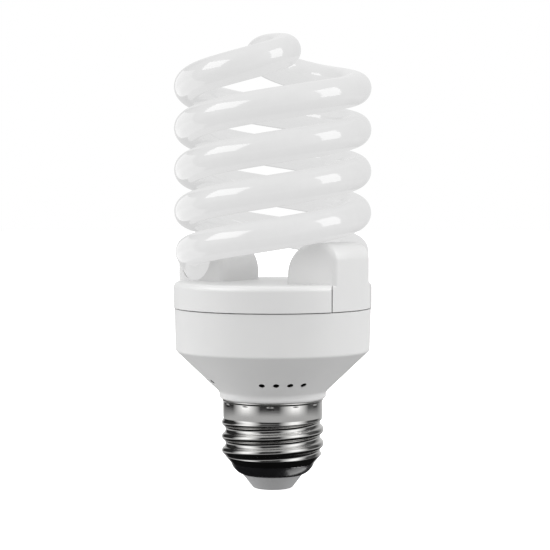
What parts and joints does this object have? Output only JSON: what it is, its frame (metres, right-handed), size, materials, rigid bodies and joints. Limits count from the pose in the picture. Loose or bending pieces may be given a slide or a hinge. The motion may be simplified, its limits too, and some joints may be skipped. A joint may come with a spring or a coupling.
{
  "type": "spiral energy saving bulb",
  "caption": "Energy saving lamp: a double helix of opal glass tube rises from a hooded cover on a white ballast housing with a vented cone and a screw base.",
  "frame": {"origin": "middle of the centre contact's flat end", "axes": "+Z along the lamp's axis toward the glass, -Y toward the vents' first group"},
  "size_m": [0.0508, 0.0508, 0.1163],
  "materials": {
    "contact_tin": "dull tinned",
    "black_glass": "glossy, opaque black",
    "nickel_shell": "bright nickel plate",
    "white_housing": "satin white moulding",
    "opal_glass": "glossy opal white, opaque",
    "cement": "set cement",
    "board": "bare laminate",
    "tinned_wire": "tinned",
    "insulated_wire": "sleeved",
    "capacitor_sleeve": "shrunk sleeve",
    "ferrite": "ground ferrite",
    "bobbin": "moulded",
    "copper_wire": "enamelled copper",
    "film_capacitor": "dipped",
    "moulded_black": "moulded",
    "thermistor": "dipped",
    "resistor": "lacquered",
    "diode_glass": "small glass bead"
  },
  "bodies": {
    "root": {"centre_contact": "contact_tin", "base_insulator": "black_glass", "screw_shell": "nickel_shell", "ballast_housing": "white_housing", "tube_cover": "white_housing", "spiral_tube": "opal_glass", "tube_cement": "cement", "circuit_board": "board", "wrap_pins": "tinned_wire", "filament_leads": "tinned_wire", "shell_lead": "insulated_wire", "contact_lead": "insulated_wire", "reservoir_capacitor": "capacitor_sleeve", "choke_core": "ferrite", "choke_bobbin": "bobbin", "choke_winding": "copper_wire", "drive_ring": "ferrite", "drive_windings": "copper_wire", "resonant_capacitor": "film_capacitor", "coupling_capacitor": "film_capacitor", "switching_transistors": "moulded_black", "starting_thermistor": "thermistor", "line_choke": "ferrite", "rectifier_diodes": "moulded_black", "fuse_resistor": "resistor", "bias_resistors": "resistor", "trigger_diode": "diode_glass"}
  },
  "joints": []
}
